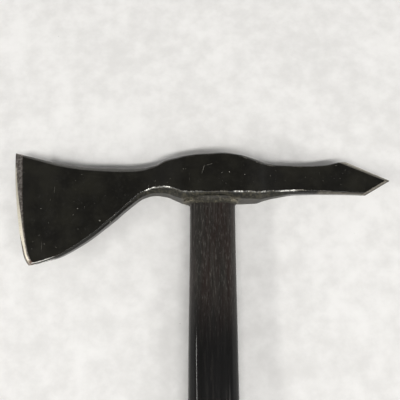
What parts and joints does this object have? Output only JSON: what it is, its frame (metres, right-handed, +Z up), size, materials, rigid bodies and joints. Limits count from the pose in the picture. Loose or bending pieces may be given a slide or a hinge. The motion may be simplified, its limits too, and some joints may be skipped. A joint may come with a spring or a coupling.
{
  "type": "fire axe",
  "caption": "Short firefighter's belt axe: forged head with a flared blade, an oval eye and an arrow-pointed pick, wedged on a straight oval black wooden haft.",
  "frame": {"origin": "on the surface the axe lies on, under the point where the haft's centre line crosses the middle of the eye", "axes": "+X along the head towards the pick, +Y along the haft from the butt up to the head, +Z up from the table; the axe lies on its side"},
  "size_m": [0.256, 0.4037, 0.028],
  "materials": {
    "head_paint": "gloss",
    "black_wood": "satin",
    "wedge_wood": "matte",
    "wedge_steel": "satin",
    "pitch": "satin"
  },
  "bodies": {
    "root": {"axe_head": "head_paint", "haft": "black_wood", "timber_wedge": "wedge_wood", "steel_wedge_blade_side": "wedge_steel", "steel_wedge_pick_side": "wedge_steel", "eye_seal": "pitch"}
  },
  "joints": []
}
